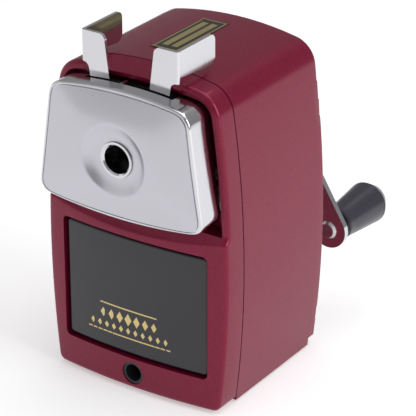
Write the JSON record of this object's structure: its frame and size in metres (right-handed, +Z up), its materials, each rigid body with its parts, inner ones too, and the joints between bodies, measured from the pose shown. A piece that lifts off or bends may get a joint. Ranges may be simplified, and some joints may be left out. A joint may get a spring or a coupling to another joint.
{
  "type": "pencil sharpener",
  "caption": "Desk pencil sharpener: arched metal body, sprung pull-out head with two squeeze levers, clear chip drawer, rear crank turning a geared helical cutter.",
  "frame": {"origin": "middle of the base footprint on the table, under the body's centre", "axes": "+X towards the crank handle, -Y out of the front where the pencil goes in, +Z up"},
  "size_m": [0.0768, 0.1187, 0.131],
  "materials": {
    "red_paint": "gloss metallic",
    "steel": "brushed",
    "dark_steel": "satin",
    "rubber": "matt",
    "white_plastic": "matt",
    "brass": "satin",
    "black_plastic": "matt",
    "gear_steel": "machined",
    "satin_face": "satin",
    "chrome": "polished",
    "smoke_plastic": "gloss",
    "zinc": "cast",
    "cutter_steel": "ground",
    "grey_plastic": "semi gloss"
  },
  "bodies": {
    "housing": {"body_shell": "red_paint", "front_frame": "red_paint", "rear_cover": "red_paint", "rear_cover_screws": "steel", "base_plate": "dark_steel", "rubber_mat": "rubber", "base_screws": "steel", "clamp_socket": "dark_steel", "drawer_rail_left": "steel", "drawer_rail_right": "steel", "chassis_front_wall": "dark_steel", "chassis_rear_wall": "dark_steel", "front_bush": "white_plastic", "rear_bush": "brass", "rod_bushes": "white_plastic", "chip_chute": "black_plastic", "return_spring_left": "steel", "return_spring_right": "steel", "ring_gear": "gear_steel", "ring_gear_screws": "steel"},
    "head": {"face_cover": "satin_face", "head_back": "steel", "face_screws": "steel", "hole_liner": "chrome", "guide_rods": "chrome", "rod_clips": "dark_steel", "lever_pins": "steel", "jaw_spring": "steel"},
    "lever_left": {"lever_left": "chrome", "jaw_pad_left": "rubber"},
    "lever_right": {"lever_right": "chrome", "jaw_pad_right": "rubber"},
    "drawer": {"drawer_tray": "smoke_plastic"},
    "crank": {"cutter_carrier": "zinc", "cutter_pin": "steel", "crank_shaft": "steel", "crank_collar": "black_plastic", "crank_nut": "chrome", "crank_arm": "chrome", "knob_spindle": "steel", "knob_collar": "chrome"},
    "cutter": {"helical_cutter": "cutter_steel", "cutter_pinion": "gear_steel"},
    "knob": {"crank_knob": "grey_plastic"}
  },
  "joints": [
    {"name": "head_slide", "type": "slide", "parent": "housing", "child": "head", "axis": [0, -1, 0], "range_m": [0, 0.038], "stiffness_N_per_m": 80, "springref_m": -0.02, "deforming": ["return_spring_left", "return_spring_right"]},
    {"name": "lever_left_squeeze", "type": "hinge", "parent": "head", "child": "lever_left", "pos_m": [-0.014, -0.0304, 0.1015], "axis": [0, 1, 0], "range_deg": [0, 16], "stiffness_Nm_per_rad": 0.12, "springref_deg": -28.65, "deforming": ["jaw_spring"]},
    {"name": "lever_right_squeeze", "type": "hinge", "parent": "head", "child": "lever_right", "pos_m": [0.014, -0.0304, 0.1015], "axis": [0, 1, 0], "range_deg": [-16, 0], "stiffness_Nm_per_rad": 0.12, "springref_deg": 28.65},
    {"name": "drawer_slide", "type": "slide", "parent": "housing", "child": "drawer", "axis": [0, -1, 0], "range_m": [0, 0.045]},
    {"name": "crank_turn", "type": "hinge", "parent": "housing", "child": "crank", "pos_m": [0, 0.04, 0.0915], "axis": [0, 1, 0], "continuous": true},
    {"name": "cutter_spin", "type": "hinge", "parent": "crank", "child": "cutter", "pos_m": [0, -0.01099, 0.10192], "axis": [0, 0.9848, -0.1736], "continuous": true},
    {"name": "knob_spin", "type": "hinge", "parent": "crank", "child": "knob", "pos_m": [0.03157, 0.065, 0.03977], "axis": [0, 1, 0], "continuous": true}
  ],
  "couplings": [
    {"joint": "cutter_spin", "follows": "crank_turn", "ratio": -3},
    {"joint": "lever_right_squeeze", "follows": "lever_left_squeeze", "ratio": -1}
  ]
}
